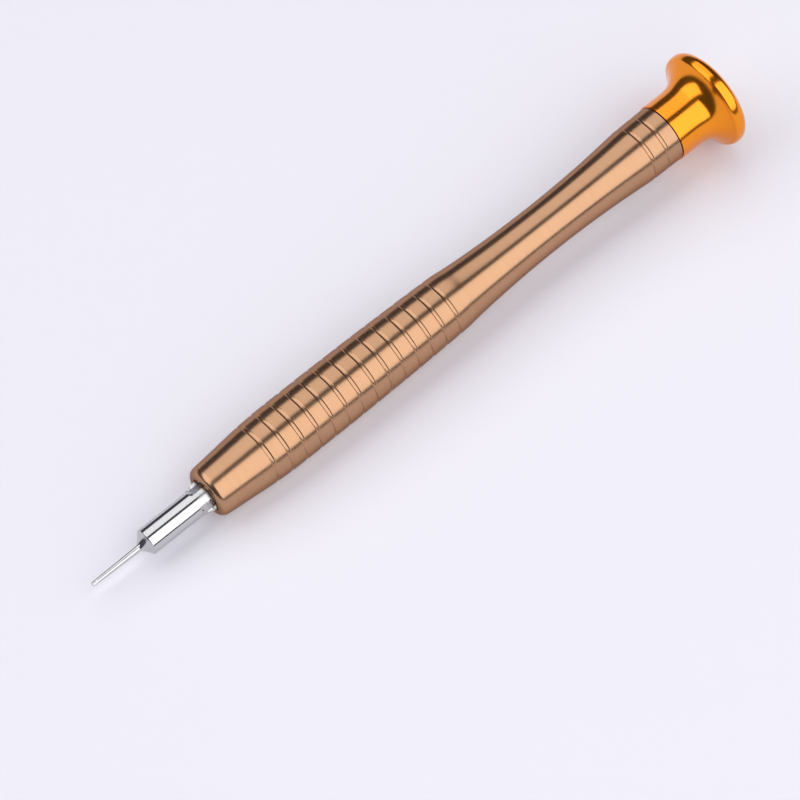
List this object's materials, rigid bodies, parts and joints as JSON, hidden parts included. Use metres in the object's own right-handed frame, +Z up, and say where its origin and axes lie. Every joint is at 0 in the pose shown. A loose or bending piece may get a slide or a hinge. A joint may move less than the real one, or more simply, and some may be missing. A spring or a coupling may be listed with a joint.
{
  "type": "watchmaker screwdriver",
  "caption": "Slim precision screwdriver with a fixed star blade, a grooved turned handle with a narrow waist, and a flared finger cap that spins.",
  "frame": {"origin": "centre of the blade tip's end face, on the tool's axis", "axes": "+X along the tool from the tip to the cap, +Z up"},
  "size_m": [0.1146, 0.0152, 0.0152],
  "materials": {
    "blade_steel": "polished",
    "bronze_aluminium": "anodised, fine turned",
    "amber_aluminium": "anodised, glossy",
    "turned_steel": "turned",
    "spring_steel": "blued",
    "ball_steel": "polished",
    "bush_brass": "turned",
    "white_plastic": "matte"
  },
  "bodies": {
    "tool": {"blade": "blade_steel", "handle": "bronze_aluminium", "pivot_stud": "turned_steel", "thrust_washer": "white_plastic", "ring_washer": "turned_steel", "retaining_ring": "spring_steel", "thrust_ball": "ball_steel"},
    "finger_cap": {"cap": "amber_aluminium", "cap_bush": "bush_brass", "cap_plug": "amber_aluminium"}
  },
  "joints": [
    {"name": "cap_spin", "type": "hinge", "parent": "tool", "child": "finger_cap", "pos_m": [0.1067, 0, 0], "axis": [1, 0, 0], "continuous": true}
  ]
}
